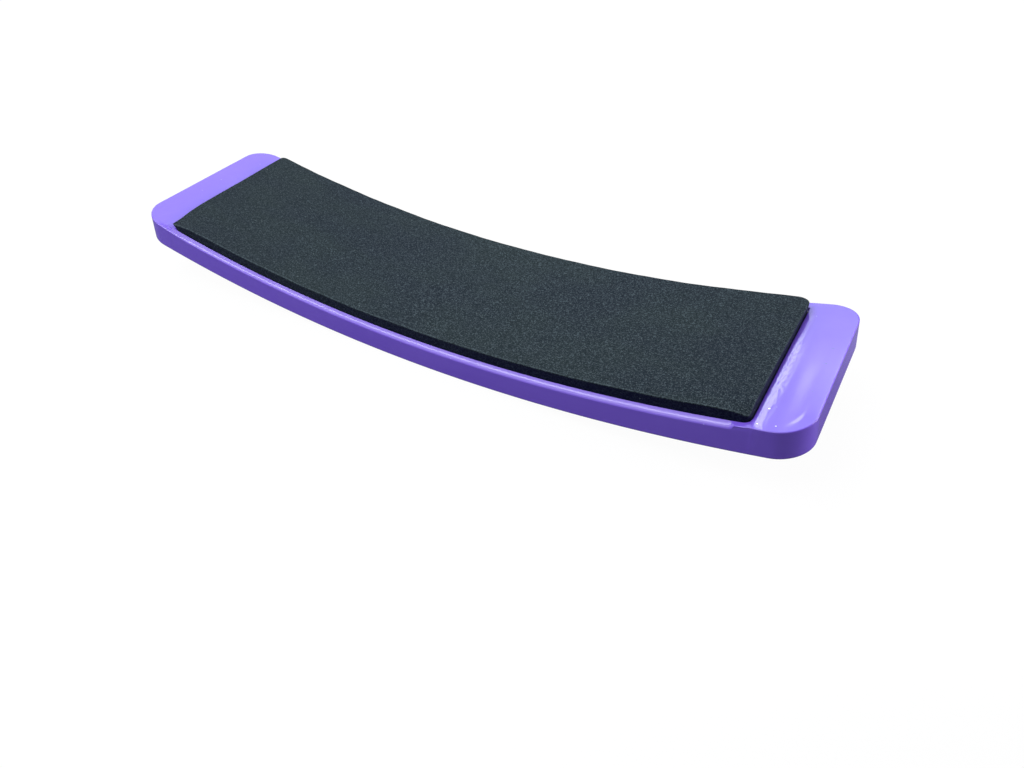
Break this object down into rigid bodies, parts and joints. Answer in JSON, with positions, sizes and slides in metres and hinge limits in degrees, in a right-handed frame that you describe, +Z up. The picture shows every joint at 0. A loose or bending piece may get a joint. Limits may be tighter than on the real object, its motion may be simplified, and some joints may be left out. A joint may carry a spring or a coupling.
{
  "type": "balance board",
  "caption": "Curved one-foot turning board: a glossy moulded rocker with a cored-out body and a glued foam pad seated in its deck.",
  "frame": {"origin": "the lowest point of the curved sole, midway along and across the board, where it touches a level floor at rest", "axes": "+X along the board towards one end, +Y across the board, +Z up through the foam pad"},
  "size_m": [0.2818, 0.076, 0.0276],
  "materials": {
    "moulded_body": "moulded lilac ABS, glossy, with fine rub marks",
    "adhesive_sheet": "pale double-sided adhesive sheet, dull",
    "pad_foam": "closed-cell EVA foam, near black, fine skinned grain"
  },
  "bodies": {
    "root": {"board_body": "moulded_body", "pad_adhesive": "adhesive_sheet", "foam_pad": "pad_foam"}
  },
  "joints": []
}
